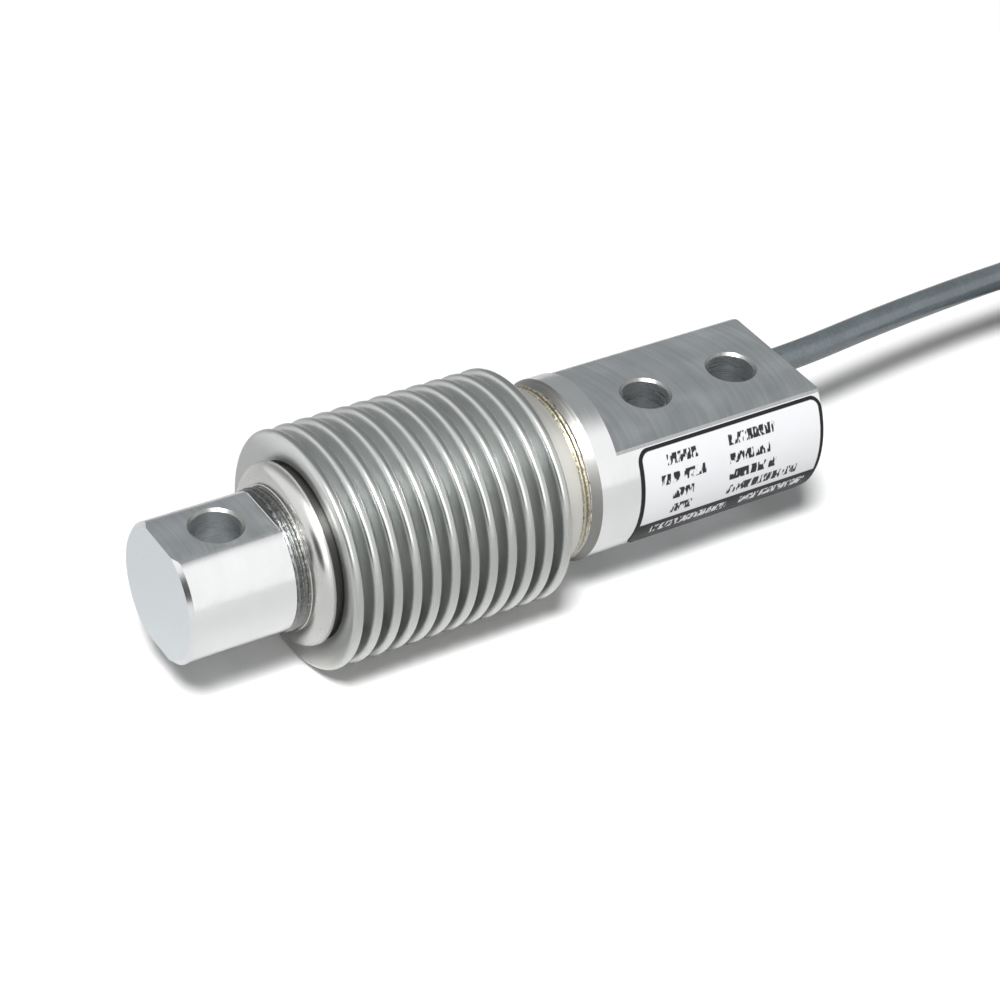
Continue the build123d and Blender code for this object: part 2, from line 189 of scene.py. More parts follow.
# %% Where each turn steps over to the next
step_length = 0.03
step_lead = 0.01
leads = 0
step_ends = []
for turn in range(1, len(turn_places)):
    if turn % hank_layers == 0:
        leads += 1
    if turn > hank_layers and turn % hank_layers == 1:
        leads += 1
    step_ends.append(turn * turn_length - math.pi * fold_radius - leads * step_lead)
print("first steps end at", [round(end, 3) for end in step_ends[:4]])


def place_in_hank(travel):
    """Fold radius and height of the winding after a length of it."""
    passed = sum(1 for end in step_ends if travel >= end)
    radius, height = turn_places[passed]
    if passed < len(step_ends):
        share = (travel - step_ends[passed] + step_length) / step_length
        share = min(max(share, 0), 1)
        share = share * share * (3 - 2 * share)
        next_radius, next_height = turn_places[passed + 1]
        radius += (next_radius - radius) * share
        height += (next_height - height) * share
    return radius, height


# %% [markdown]
# A turn is two straight runs and two half circles. The control points of a quadratic curve round an arc
# stand a little outside it, by one over the cosine of half the angle between two of them, and then the
# curve itself runs on the arc.

# %% The points of one turn, and of the hank
fold_points = 8
far_run_points = 3
near_run_points = 6
half_circle = math.pi * fold_radius
fold_stand_off = 1 / math.cos(math.pi / fold_points / 2)


def on_turn(travel, turn):
    """A control point at a length along one turn, counted from the start of its far run."""
    radius, height = place_in_hank(turn * turn_length + travel)
    if travel < hank_run:
        along, across = travel - hank_run / 2, radius
    elif travel < hank_run + half_circle:
        angle = math.pi / 2 - (travel - hank_run) / fold_radius
        along = hank_run / 2 + radius * fold_stand_off * math.cos(angle)
        across = radius * fold_stand_off * math.sin(angle)
    elif travel < 2 * hank_run + half_circle:
        along, across = 1.5 * hank_run + half_circle - travel, -radius
    else:
        angle = -math.pi / 2 - (travel - 2 * hank_run - half_circle) / fold_radius
        along = -hank_run / 2 + radius * fold_stand_off * math.cos(angle)
        across = radius * fold_stand_off * math.sin(angle)
    place = hank_middle + heading * along + outward * across
    return (place.x, place.y, height)


turn_travels = [(i + 0.5) / far_run_points * hank_run for i in range(far_run_points)]
turn_travels += [hank_run + (i + 0.5) / fold_points * half_circle for i in range(fold_points)]
near_start = hank_run + half_circle
turn_travels += [near_start + (i + 0.5) / near_run_points * hank_run for i in range(near_run_points)]
turn_travels += [near_start + hank_run + (i + 0.5) / fold_points * half_circle for i in range(fold_points)]
hank_points = []
for turn in range(len(turn_places) - 1):
    hank_points += [on_turn(travel, turn) for travel in turn_travels]
print("points in the hank:", len(hank_points))

# %% [markdown]
# The last turn is the inner one at the bottom. Its fold goes on for one more point, so that the free end
# turns into the loop of the hank and lies there, out of the way, with its four bare conductors. The
# curve's bevel is one metre deep, so the radius of a point is the cable's own radius in metres.

# %% The tail, and the curve itself
tail_turn = math.pi / fold_points
tail_lead = 0.020
lead_sink = 0.0003
inner_radius, bottom_z = turn_places[-1]
fold_middle = hank_middle - heading * (hank_run / 2)
tail_bend = math.pi / 2 - tail_turn / 2
bend_reach = inner_radius * fold_stand_off
bend_place = fold_middle + heading * bend_reach * math.cos(tail_bend)
bend_place += outward * bend_reach * math.sin(tail_bend)
tail_start = fold_middle + heading * inner_radius * math.sin(tail_turn)
tail_start += outward * inner_radius * math.cos(tail_turn)
tail_end = tail_start + (heading * math.cos(tail_turn) - outward * math.sin(tail_turn)) * tail_lead
hank_points.append((bend_place.x, bend_place.y, bottom_z))
tail_end.z = bottom_z + lead_sink
cable_points = run_points + hank_points + [tuple(tail_end)]
cable_curve = bpy.data.curves.new("cable_line", "CURVE")
cable_curve.dimensions = "3D"
cable_curve.bevel_depth = 1.0
cable_curve.bevel_resolution = 6
cable_curve.resolution_u = 8
cable_curve.use_fill_caps = True
spline = cable_curve.splines.new("NURBS")
spline.points.add(len(cable_points) - 1)
for point, place in zip(spline.points, cable_points):
    point.co = (*place, 1)
    point.radius = cable_diameter / 2
spline.order_u = 3
spline.use_endpoint_u = True
cable_line = shown_object("cable_line", cable_curve)
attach(cable_line, "root")
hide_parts("cable", "cable_hank")
cable_ends = ["hank_tie_1", "hank_tie_2", "end_sleeve", "cable_seal"]
cable_ends += ["conductor_" + colour for colour in ("red", "white", "green", "black")]
print("control points of the cable:", len(cable_points))

# %% [markdown]
# The floor is a pale disc just under the bellows. To the camera it adds a little light of its own, and more
# far away, so that it reads as clean white paper while the shadow under the beam stays on it. The steel
# mirrors it as a grey sheet, which keeps the undersides of the round faces from going white.

# %% Node helpers and the floor
def put(tree, kind, inputs=None, **settings):
    """Adds a shader node. An input is a value, or another node's output to link."""
    made = tree.nodes.new("ShaderNode" + kind)
    for name, value in settings.items():
        setattr(made, name, value)
    for name, value in (inputs or {}).items():
        if isinstance(value, bpy.types.NodeSocket):
            tree.links.new(value, made.inputs[name])
        else:
            made.inputs[name].default_value = value
    return made


def calc(tree, operation, *values):
    """Output of a Math node."""
    return put(tree, "Math", dict(enumerate(values)), operation=operation).outputs[0]


def blend(tree, share, first, second):
    """Output of a colour mix: first where share is 0 and second where it is 1."""
    return put(tree, "Mix", {0: share, 6: first, 7: second}, data_type="RGBA").outputs[2]


def spread(tree, value, low, high, out_low, out_high, kind="SMOOTHSTEP"):
    """Output of a Map Range node."""
    inputs = {0: value, 1: low, 2: high, 3: out_low, 4: out_high}
    return put(tree, "MapRange", inputs, interpolation_type=kind).outputs[0]


def vector_calc(tree, operation, *vectors):
    """Output of a Vector Math node, a number where the operation gives one."""
    made = put(tree, "VectorMath", dict(enumerate(vectors)), operation=operation)
    return made.outputs["Value" if operation in ("LENGTH", "DOT_PRODUCT") else "Vector"]


def combine(tree, x=0.0, y=0.0, z=0.0):
    """Output of a Combine XYZ node."""
    return put(tree, "CombineXYZ", {0: x, 1: y, 2: z}).outputs[0]


floor_radius = 4.0
floor_gap = 0.0001
paper_white = (0.86, 0.86, 0.86, 1)
paper_in_steel = (0.55, 0.55, 0.55, 1)
floor_mesh = bpy.data.meshes.new("floor")
floor_shape = bmesh.new()
bmesh.ops.create_circle(floor_shape, cap_ends=True, segments=96, radius=floor_radius)
bmesh.ops.translate(floor_shape, verts=floor_shape.verts, vec=(0, 0, floor_z - floor_gap))
floor_shape.to_mesh(floor_mesh)
floor_shape.free()
floor = shown_object("floor", floor_mesh)
floor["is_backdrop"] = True
floor_paint = bpy.data.materials.new("floor_paper")
floor_paint.use_nodes = True
floor_tree = floor_paint.node_tree
floor_shader = floor_tree.nodes["Principled BSDF"]
floor_shader.inputs["Roughness"].default_value = 0.9
floor_shader.inputs["Specular IOR Level"].default_value = 0.1
floor_shader.inputs["Emission Color"].default_value = (1, 1, 1, 1)
floor_ray = put(floor_tree, "LightPath")
floor_colour = blend(floor_tree, floor_ray.outputs["Is Glossy Ray"], paper_white, paper_in_steel)
floor_tree.links.new(floor_colour, floor_shader.inputs["Base Color"])
floor_place = put(floor_tree, "TexCoord").outputs["Object"]
from_middle = vector_calc(floor_tree, "LENGTH", floor_place)
far_glow = spread(floor_tree, from_middle, 0.4, 2.0, 0.05, 1)
floor_glow = calc(floor_tree, "MULTIPLY", floor_ray.outputs["Is Camera Ray"], far_glow)
floor_tree.links.new(floor_glow, floor_shader.inputs["Emission Strength"])
floor_mesh.materials.append(floor_paint)
print("floor disc:", floor_radius, "m")

# %% [markdown]
# Bare steel shows what stands round it, so the room matters as much as the metal. The room is white but
# for a wide grey curtain behind the object and above it, which is where the milled flats look as the
# camera sees them, and a dark stand beyond the load end, which darkens one side of each fold. The flats
# come out grey then, and the round faces that look at the table or to the front come out nearly white.
# The camera itself sees plain white, and dull surfaces get only a little light from the room.

# %% The room
flat_mirror = (
    math.cos(camera_elevation) * math.cos(camera_heading),
    math.cos(camera_elevation) * math.sin(camera_heading),
    math.sin(camera_elevation),
)
stand_direction = (-0.87, -0.43, 0.22)
white = (1, 1, 1, 1)
curtain_grey = (0.33, 0.342, 0.347, 1)
stand_grey = (0.05, 0.05, 0.05, 1)
room_glow = 0.05
world = bpy.data.worlds.new("studio")
bpy.context.scene.world = world
world.use_nodes = True
room = world.node_tree
room_light = room.nodes["Background"]
room_direction = put(room, "TexCoord").outputs["Generated"]
curtain = spread(room, vector_calc(room, "DOT_PRODUCT", room_direction, flat_mirror), 0.45, 0.86, 0, 1)
stand = spread(room, vector_calc(room, "DOT_PRODUCT", room_direction, stand_direction), 0.9, 0.97, 0, 1)
room_without_stand = blend(room, curtain, white, curtain_grey)
room_colour = blend(room, stand, room_without_stand, stand_grey)
room_rays = put(room, "LightPath").outputs
seen_colour = blend(room, room_rays["Is Camera Ray"], room_colour, white)
room.links.new(seen_colour, room_light.inputs["Color"])
room_seen = calc(room, "MAXIMUM", room_rays["Is Camera Ray"], room_rays["Is Glossy Ray"])
room.links.new(spread(room, room_seen, 0, 1, room_glow, 1, "LINEAR"), room_light.inputs["Strength"])
bpy.context.scene.view_settings.view_transform = "Standard"
print("world:", world.name)


# %% Lamps
def add_lamp(name, place, target, size, power):
    """A square soft lamp at a place, turned to a target."""
    data = bpy.data.lights.new(name, "AREA")
    data.shape = "SQUARE"
    data.size = size
    data.energy = power
    lamp = shown_object(name, data)
    look = (Vector(target) - Vector(place)).to_track_quat("-Z", "Y")
    lamp.matrix_world = Matrix.Translation(place) @ look.to_matrix().to_4x4()
    return lamp


beam_middle = Vector(((beam_low.x + beam_high.x) / 2, 0, axis_z))
key_lamp = add_lamp("key_lamp", (-1.0, -0.96, 2.2), beam_middle, 0.62, 97.0)
add_lamp("front_lamp", (-0.5, -1.4, 0.9), beam_middle, 0.9, 3.5)
print("key lamp at", tuple(round(v, 3) for v in key_lamp.location))

# %% [markdown]
# Many marks on this object run round the beam's axis: the rings of the faced end, heat stripes on the
# welds, rows on the label. One node group turns a point into its distance along the axis, its radius and
# its angle, and all of those materials read it, as the bellows' steel does for its crests and its cuff.

# %% Node group: place round the axis
def new_group(name, inputs, outputs):
    """An empty shader node group with named inputs (with their defaults) and outputs."""
    tree = bpy.data.node_groups.new(name, "ShaderNodeTree")
    for title, kind, start in inputs:
        socket = tree.interface.new_socket(title, in_out="INPUT", socket_type="NodeSocket" + kind)
        if start is not None:
            socket.default_value = start
    for title, kind in outputs:
        tree.interface.new_socket(title, in_out="OUTPUT", socket_type="NodeSocket" + kind)
    return tree, tree.nodes.new("NodeGroupInput").outputs, tree.nodes.new("NodeGroupOutput").inputs


round_axis, given, out = new_group(
    "place_round_axis",
    [("Vector", "Vector", None)],
    [("Along", "Float"), ("Radius", "Float"), ("Angle", "Float")],
)
centred = put(round_axis, "Mapping", {0: given["Vector"], 1: (0, 0, -axis_z)}).outputs[0]
parts = put(round_axis, "SeparateXYZ", {0: centred}).outputs
radius_out = vector_calc(round_axis, "LENGTH", vector_calc(round_axis, "MULTIPLY", centred, (0, 1, 1)))
angle_out = calc(round_axis, "ARCTAN2", parts["Z"], parts["Y"])
round_axis.links.new(parts["X"], out["Along"])
round_axis.links.new(radius_out, out["Radius"])
round_axis.links.new(angle_out, out["Angle"])
print("group:", round_axis.name)

# %% [markdown]
# A turned face carries hair-thin rings, each a little brighter or duller than the next, and softer
# clouds where the coolant dried. The group below draws both from a vector whose X counts along the
# direction in which the lines follow each other. Its lines are stretched noise, not a wave, because
# tool marks never repeat exactly.

# %% Node group: tool lines
tool_lines, given, out = new_group(
    "tool_lines",
    [("Vector", "Vector", None), ("Pitch", "Float", 0.0004), ("Stretch", "Float", 0.03)],
    [("Lines", "Float"), ("Clouds", "Float")],
)
density = calc(tool_lines, "DIVIDE", 1.0, given["Pitch"])
across = calc(tool_lines, "MULTIPLY", density, given["Stretch"])
stretch_by = combine(tool_lines, density, across, across)
stretched = vector_calc(tool_lines, "MULTIPLY", given["Vector"], stretch_by)
line_noise = put(tool_lines, "TexNoise", {"Vector": stretched, "Scale": 1.0, "Detail": 3.0})
cloud_noise = put(tool_lines, "TexNoise", {"Vector": given["Vector"], "Scale": 160.0, "Detail": 4.0})
tool_lines.links.new(line_noise.outputs[0], out["Lines"])
tool_lines.links.new(cloud_noise.outputs[0], out["Clouds"])
print("group:", tool_lines.name)

# %% [markdown]
# Plastics, rubber and painted boards are never one even colour either. The grain group gives a fine
# speckle of a stated size and a cloud about twelve times as coarse. The speckle is the bump's height too.

# %% Node group: moulded grain
moulded_grain, given, out = new_group(
    "moulded_grain",
    [("Vector", "Vector", None), ("Size", "Float", 0.0004)],
    [("Speckle", "Float"), ("Cloud", "Float")],
)
grain_scale = calc(moulded_grain, "DIVIDE", 1.0, given["Size"])
speckle = put(moulded_grain, "TexNoise", {"Vector": given["Vector"], "Scale": grain_scale, "Detail": 2.0})
cloud_share = 0.08
cloud_scale = calc(moulded_grain, "MULTIPLY", grain_scale, cloud_share)
cloud = put(moulded_grain, "TexNoise", {"Vector": given["Vector"], "Scale": cloud_scale, "Detail": 3.0})
moulded_grain.links.new(speckle.outputs[0], out["Speckle"])
moulded_grain.links.new(cloud.outputs[0], out["Cloud"])
print("group:", moulded_grain.name)


# %% New materials
def new_material(name, metallic=0.0):
    """A node material: its tree, its Principled shader and the Object coordinates."""
    made = bpy.data.materials.new(name)
    made.use_nodes = True
    tree = made.node_tree
    shader = tree.nodes["Principled BSDF"]
    shader.inputs["Metallic"].default_value = metallic
    place = put(tree, "TexCoord").outputs["Object"]
    return made, tree, shader, place


def use_group(tree, group, **inputs):
    """A node group placed in a material, with its own values."""
    made = tree.nodes.new("ShaderNodeGroup")
    made.node_tree = group
    for name, value in inputs.items():
        if isinstance(value, bpy.types.NodeSocket):
            tree.links.new(value, made.inputs[name])
        else:
            made.inputs[name].default_value = value
    return made.outputs


def varied(tree, noise_value, low, high):
    """A value that goes from low to high with the middle part of a noise."""
    return spread(tree, noise_value, 0.3, 0.7, low, high, "LINEAR")


def bump(tree, shader, height, depth):
    """A bump of a real depth in metres on a material."""
    made = put(tree, "Bump", {"Strength": 1.0, "Distance": depth, "Height": height})
    tree.links.new(made.outputs[0], shader.inputs["Normal"])


# %% [markdown]
# The beam is one piece of steel with six finishes. The block and the stub were turned, then flats were
# milled on them, the end was faced and the holes were drilled. Turned steel is bright with thin rings.

# %% Turned and bored steel
def lined_steel(name, turn, tone, roughness, pitch, depth, stretch=0.03):
    """Steel with tool lines that follow each other along X, after a turn of the coordinates."""
    made, tree, shader, place = new_material(name, 1.0)
    line_place = put(tree, "Mapping", {0: place, 2: turn}).outputs[0]
    lines = use_group(tree, tool_lines, Vector=line_place, Pitch=pitch, Stretch=stretch)
    darker_tone = tuple(0.86 * c for c in tone) + (1,)
    colour = blend(tree, lines["Clouds"], darker_tone, (*tone, 1))
    tree.links.new(colour, shader.inputs["Base Color"])
    rough = varied(tree, lines["Lines"], roughness * 0.75, roughness * 1.3)
    tree.links.new(rough, shader.inputs["Roughness"])
    bump(tree, shader, lines["Lines"], depth)
    return made


turned_steel = lined_steel("turned_steel", (0, 0, 0), (0.95, 0.955, 0.96), 0.2, 0.0005, 0.000006)
bored_steel = lined_steel("bored_steel", (0, math.pi / 2, 0), (0.85, 0.87, 0.88), 0.3, 0.0004, 0.00001)
print("materials:", turned_steel.name, bored_steel.name)

# %% [markdown]
# A face mill leaves arcs, each one feed further on than the last. The arc's distance along the beam is
# x + sqrt(R² - y²), with R the cutter's radius, so noise on that distance alone gives arcs of uneven
# brightness. The end face was faced in the lathe, and its rings go round the axis instead.

# %% Milled flats and the faced end
cutter_radius = 0.028
milled_steel, tree, shader, place = new_material("milled_steel", 1.0)
parts = put(tree, "SeparateXYZ", {0: place}).outputs
across_cut = calc(tree, "MULTIPLY", parts["Y"], parts["Y"])
reach_cut = calc(tree, "SQRT", calc(tree, "SUBTRACT", cutter_radius ** 2, across_cut))
cut = calc(tree, "SUBTRACT", parts["X"], reach_cut)
cut_place = combine(tree, cut, parts["Y"], parts["Z"])
lines = use_group(tree, tool_lines, Vector=cut_place, Pitch=0.0007, Stretch=0.04)
arcs = spread(tree, lines["Lines"], 0.32, 0.68, 0, 1)
milled_colour = blend(tree, arcs, (0.66, 0.685, 0.695, 1), (0.75, 0.775, 0.785, 1))
tree.links.new(milled_colour, shader.inputs["Base Color"])
milled_rough = spread(tree, lines["Clouds"], 0.35, 0.65, 0.26, 0.4, "LINEAR")
tree.links.new(milled_rough, shader.inputs["Roughness"])
bump(tree, shader, lines["Lines"], 0.000005)

faced_steel, tree, shader, place = new_material("faced_steel", 1.0)
polar = use_group(tree, round_axis, Vector=place)
ring_place = combine(tree, polar["Radius"], polar["Along"])
lines = use_group(tree, tool_lines, Vector=ring_place, Pitch=0.0006, Stretch=0.03)
faced_colour = blend(tree, lines["Lines"], (0.75, 0.79, 0.815, 1), (0.81, 0.85, 0.875, 1))
tree.links.new(faced_colour, shader.inputs["Base Color"])
shader.inputs["Roughness"].default_value = 0.42
bump(tree, shader, lines["Lines"], 0.000006)
print("materials:", milled_steel.name, faced_steel.name)

# %% [markdown]
# Where the stub's flat ends, a low wall rises to the weld. It gets a near-black steel with the same rings.
# The taper beside the other weld and the rims of the holes get rougher, deeper lines and a dark steel colour,
# which is painted shade that dims their reflections.

# %% Dark wall steel, and dull steel with painted shade
tinted_steel = lined_steel("dark_tinted_wall_steel", (0, 0, 0), (0.08, 0.078, 0.07), 0.35, 0.0005, 0.000006)
# Painted shade: the dull steel's dark colour dims the reflections on the taper and the hole rims.
dull_shaded_steel = lined_steel("dull_shaded_turned_steel", (0, 0, 0), (0.30, 0.30, 0.29), 0.38, 0.0004, 0.00001)
print("materials:", tinted_steel.name, dull_shaded_steel.name)

# %% [markdown]
# The CAD solid of the beam already has the right shape, so a copy of its mesh is merged and shaded
# smooth with sharp edges where two faces meet. The cutter's rounded nose leaves a small fillet at the foot
# of each flat on the stub. Each face then gets the finish of the tool that cut it, which its direction and
# its place tell.

# %% Helpers for meshes
def copied_shape(name):
    """A bmesh of a CAD node's mesh, with its loose triangles merged."""
    shape = bmesh.new()
    shape.from_mesh(frame["nodes"][name].data)
    bmesh.ops.remove_doubles(shape, verts=shape.verts, dist=0.000002)
    return shape


def finish_shape(shape, name, materials, slot, *nodes, sharp=math.radians(24)):
    """Makes a bmesh an object with sharp edges over an angle, which replaces CAD nodes."""
    shape.normal_update()
    for face in shape.faces:
        face.smooth = True
    for edge in shape.edges:
        edge.smooth = edge.is_manifold and edge.calc_face_angle(0) < sharp
    mesh = bpy.data.meshes.new(name)
    for material in materials:
        mesh.materials.append(material)
    shape.to_mesh(mesh)
    shape.free()
    made = shown_object(name, mesh)
    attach(made, "root")
    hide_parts(*nodes)
    print(name, "has", len(mesh.polygons), "faces")


# %% The foot of the stub's flats
flat_height = axis_z
flat_end = load_weld_low.x
cutter_nose = 0.00018
touching = 0.00002
beam_shape = copied_shape("beam")
foot_edges = [
    edge
    for edge in beam_shape.edges
    if all(abs(v.co.x - flat_end) < touching for v in edge.verts)
    and all(abs(abs(v.co.z - axis_z) - flat_height) < touching for v in edge.verts)
]
bmesh.ops.bevel(beam_shape, geom=foot_edges, offset=cutter_nose, segments=2, affect="EDGES", profile=0.5)
beam_shape.normal_update()
print("edges rounded at the feet of the stub's flats:", len(foot_edges))

# %% The beam with its finishes
load_span = 0.082
hole_spacing = 0.018
hole_radius = 0.0041
chamfer_reach = hole_radius + 0.0006
bore_reach = hole_radius + 0.0002
taper_length = 0.0016
square_on = 0.999
slack = 0.0001
hole_centres = [-hole_spacing / 2 - load_span, -hole_spacing / 2, hole_spacing / 2]
beam_finishes = [turned_steel, milled_steel, faced_steel, bored_steel, tinted_steel, dull_shaded_steel]
turned, milled, faced, bored, tinted, dull_shaded = range(len(beam_finishes))
for face in beam_shape.faces:
    middle = face.calc_center_median()
    normal = face.normal
    off_hole = min(Vector((middle.x - x, middle.y)).length for x in hole_centres)
    off_flat = abs(abs(middle.z - axis_z) - flat_height)
    past_weld = middle.x - mounting_weld_high.x
    face.material_index = turned
    if abs(normal.z) > square_on and off_flat < 2 * slack:
        face.material_index = milled
    elif abs(normal.x) > square_on:
        outer_end = middle.x < beam_low.x + 10 * slack or middle.x > 0
        face.material_index = faced if outer_end else tinted
    elif off_hole < bore_reach and abs(normal.z) < 0.1:
        face.material_index = bored
    # The hole rims and the taper take the dull steel, whose dark colour is painted shade.
    elif off_hole < chamfer_reach and abs(normal.z) < 0.8:
        face.material_index = dull_shaded
    elif -slack < past_weld < taper_length + slack and normal.x < -0.1:
        face.material_index = dull_shaded
finish_shape(beam_shape, "beam_steel_bar", beam_finishes, "beam_steel", "beam")

# %% [markdown]
# The ring, the bellows and the welds are all made in the same way: a profile of a few points in the
# plane through the axis, spun round it. The number of steps is high enough that the outline stays round.

# %% Spinning a profile
spin_steps = 128


def spun(profile):
    """A bmesh of a closed profile of (x, radius) points, spun round the beam's axis."""
    shape = bmesh.new()
    corners = [shape.verts.new((x, -radius, axis_z)) for x, radius in profile]
    for first, second in zip(corners, corners[1:] + corners[:1]):
        shape.edges.new((first, second))
    bmesh.ops.spin(
        shape,
        geom=shape.verts[:] + shape.edges[:],
        cent=axis_point,
        axis=(1, 0, 0),
        angle=2 * math.pi,
        steps=spin_steps,
        use_merge=True,
    )
    bmesh.ops.remove_doubles(shape, verts=shape.verts, dist=0.000001)
    bmesh.ops.recalc_face_normals(shape, faces=shape.faces)
    return shape


def arc(centre_x, centre_r, radius, start, end, count):
    """Points of an arc in the profile plane, angles in degrees from +X towards +radius."""
    points = []
    for i in range(count + 1):
        angle = math.radians(start + (end - start) * i / count)
        points.append((centre_x + radius * math.cos(angle), centre_r + radius * math.sin(angle)))
    return points


# %% [markdown]
# Twelve folds, each a thin wall that goes up, round a crest and down again. Rolled steel never has square
# folds, so the crests and roots are half circles, and the roots are a little narrower than the crests. The
# steel is painted paler near the top and along the bottom, which is painted light.

# %% The bellows
fold_count = 12
cuff_length = 0.005
root_radius = 0.0154
crest_radius = bellows_high.y
crest_half = 0.00095
fold_pitch = (bellows_high.x - cuff_length - bellows_low.x - 2 * crest_half) / (fold_count - 1)
root_half = fold_pitch / 2 - crest_half
first_crest = bellows_low.x + crest_half
bore_radius = 0.015
first_seat = bellows_low.x + 0.0009
cuff_fillet = 0.0004
cuff_edge = 0.0002
bellows_profile = [(first_seat, bore_radius), (first_seat, root_radius)]
for fold in range(fold_count):
    crest_x = first_crest + fold * fold_pitch
    bellows_profile += arc(crest_x, crest_radius - crest_half, crest_half, 180, 0, 12)
    if fold < fold_count - 1:
        root_x = crest_x + fold_pitch / 2
        bellows_profile += arc(root_x, root_radius + root_half, root_half, 180, 360, 8)
last_wall = first_crest + (fold_count - 1) * fold_pitch + crest_half
bellows_profile += [(last_wall, root_radius + cuff_fillet), (last_wall + cuff_fillet, root_radius)]
bellows_profile += [(bellows_high.x - cuff_edge, root_radius), (bellows_high.x, root_radius - cuff_edge)]
bellows_profile += [(bellows_high.x, bore_radius)]
print("fold pitch:", round(1000 * fold_pitch, 2), "mm")

# %% The bellows' steel
bellows_steel, tree, shader, place = new_material("rolled_bellows_steel", 1.0)
polar = use_group(tree, round_axis, Vector=place)
lines = use_group(tree, tool_lines, Vector=place, Pitch=0.00025, Stretch=0.02)
on_crest = spread(tree, polar["Radius"], crest_radius - 0.0007, crest_radius - 0.0001, 0, 1)
rolled = blend(tree, lines["Clouds"], (0.50, 0.515, 0.505, 1), (0.60, 0.615, 0.605, 1))
height = put(tree, "SeparateXYZ", {0: place}).outputs["Z"]
# Painted light: the walls are painted paler near the top and at their foot, and the crests paler on the lower
# side.
painted_top_light = spread(tree, height, axis_z + 0.011, axis_z + 0.019, 0, 1)
painted_low_light = spread(tree, height, axis_z - 0.012, axis_z + 0.002, 1, 0)
painted_wall_foot_light = spread(tree, height, axis_z - 0.018, axis_z - 0.008, 0.9, 0)
wall_tone = blend(tree, painted_top_light, rolled, (0.78, 0.795, 0.79, 1))
wall_tone = blend(tree, painted_wall_foot_light, wall_tone, (0.82, 0.82, 0.785, 1))
crest_tone = blend(tree, painted_low_light, (0.54, 0.55, 0.535, 1), (0.80, 0.81, 0.78, 1))
folded = blend(tree, on_crest, wall_tone, crest_tone)
# Painted highlight: the cuff is a warmer steel, made partly non-metallic so that it reads paler under the
# lamps.
on_cuff = spread(tree, polar["Along"], last_wall + cuff_fillet, last_wall + 2 * cuff_fillet, 0, 1)
tree.links.new(blend(tree, on_cuff, folded, (0.60, 0.592, 0.55, 1)), shader.inputs["Base Color"])
tree.links.new(spread(tree, on_cuff, 0, 1, 1, 0.85, "LINEAR"), shader.inputs["Metallic"])
line_rough = varied(tree, lines["Lines"], -0.06, 0.06)
fold_rough = spread(tree, on_crest, 0, 1, 0.42, 0.22, "LINEAR")
tree.links.new(calc(tree, "ADD", line_rough, fold_rough), shader.inputs["Roughness"])
bump(tree, shader, lines["Lines"], 0.000008)
bellows_shape = spun(bellows_profile)
finish_shape(bellows_shape, "bellows_skin", [bellows_steel], "bellows_steel", "bellows")

# %% [markdown]
# The end ring closes the bellows. Its nose rises from the stub in a round swell, and a narrow groove, its
# faces painted near-black as painted shade, parts it from the first wall of the bellows, to which it is
# welded inside.

# %% The end ring
nose_radius = 0.0122
ring_outer = root_radius
groove_width = 0.0006
groove_radius = 0.0144
ring_bore = bore_radius - 0.0033
nose_foot = 0.0001
nose_edge = 0.0003
nose_steps = 12
nose_end = bellows_low.x - groove_width
nose_length = nose_end - nose_edge - ring_low.x
ring_profile = [(ring_low.x, ring_bore), (ring_low.x, nose_radius - nose_foot)]
ring_profile.append((ring_low.x + nose_foot, nose_radius))
for i in range(1, nose_steps + 1):
    turn = math.radians(90 * i / nose_steps)
    along = ring_low.x + nose_length * (1 - math.cos(turn))
    ring_profile.append((along, nose_radius + (ring_outer - nose_radius) * math.sin(turn)))
ring_profile += arc(nose_end - nose_edge, ring_outer - nose_edge, nose_edge, 90, 0, 4)[1:]
ring_profile += [(nose_end, groove_radius), (first_seat, groove_radius), (first_seat, bore_radius)]
ring_profile += [(ring_high.x, bore_radius), (ring_high.x, ring_bore)]
ring_steel = lined_steel("ring_steel", (0, 0, 0), (0.72, 0.715, 0.70), 0.24, 0.0004, 0.000008, 0.02)
groove_painted_shade_steel = lined_steel("dark_groove_painted_shade_steel", (0, 0, 0), (0.10, 0.10, 0.095), 0.4, 0.0004, 0.000008)
ring_shape = spun(ring_profile)
# The groove's faces get the near-black steel, which is painted shade.
for face in ring_shape.faces:
    middle = face.calc_center_median()
    off_axis = math.hypot(middle.y, middle.z - axis_z)
    if middle.x > nose_end - slack and off_axis < ring_outer - nose_edge:
        face.material_index = 1
finish_shape(ring_shape, "end_ring_nose", [ring_steel, groove_painted_shade_steel], "ring_steel", "end_ring")

# %% [markdown]
# A weld run round a joint freezes in small overlapping scales. The bead's profile is spun and then each
# of its points is moved in and out a little with its angle, which gives the scales. The heat left colours
# on it, in rings: dark grey where the ring was welded to the stub, straw yellow at the cuff. Both are
# painted paler on the lower side, which is painted light.

# %% The welds
scale_count = 90
scale_lean = 900
scale_height = 0.00003
uneven_height = 0.00007
bead_sunk = 0.00008
noise_count = 900
weld_profile_points = 24
weld_foot = 0.0004
weld_depth = 0.0006
bare_above = 0.00005


